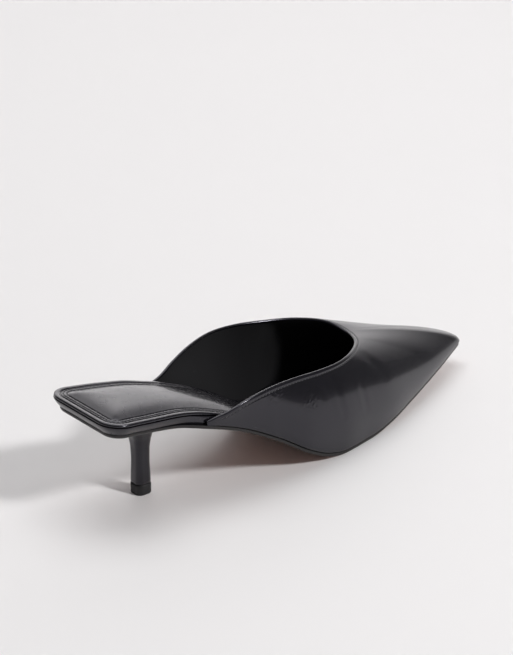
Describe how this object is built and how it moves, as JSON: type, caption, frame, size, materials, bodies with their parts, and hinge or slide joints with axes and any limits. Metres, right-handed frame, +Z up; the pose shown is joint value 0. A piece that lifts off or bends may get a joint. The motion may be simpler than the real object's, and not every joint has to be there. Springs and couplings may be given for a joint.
{
  "type": "kitten heel mule",
  "caption": "Right-foot pointed mule in smooth leather with an open back, a low square seat and a slim kitten heel.",
  "frame": {"origin": "centre of the heel's top piece on the floor", "axes": "+X from the heel to the toe, +Y to the inner side of the foot, +Z up"},
  "size_m": [0.256, 0.0829, 0.0536],
  "materials": {
    "outsole_resin": "smooth brown underside with a black inked edge",
    "board_leather": "black leather cover over the board, satin",
    "sock_leather": "black padded sock, satin, stitched round the edge",
    "upper_leather": "smooth black leather, semi-gloss",
    "heel_cover": "black leather cover over a moulded heel, satin",
    "top_piece_rubber": "matt black rubber"
  },
  "bodies": {
    "root": {"outsole": "outsole_resin", "insole": "board_leather", "sock": "sock_leather", "upper": "upper_leather", "heel": "heel_cover", "top_piece": "top_piece_rubber"}
  },
  "joints": []
}
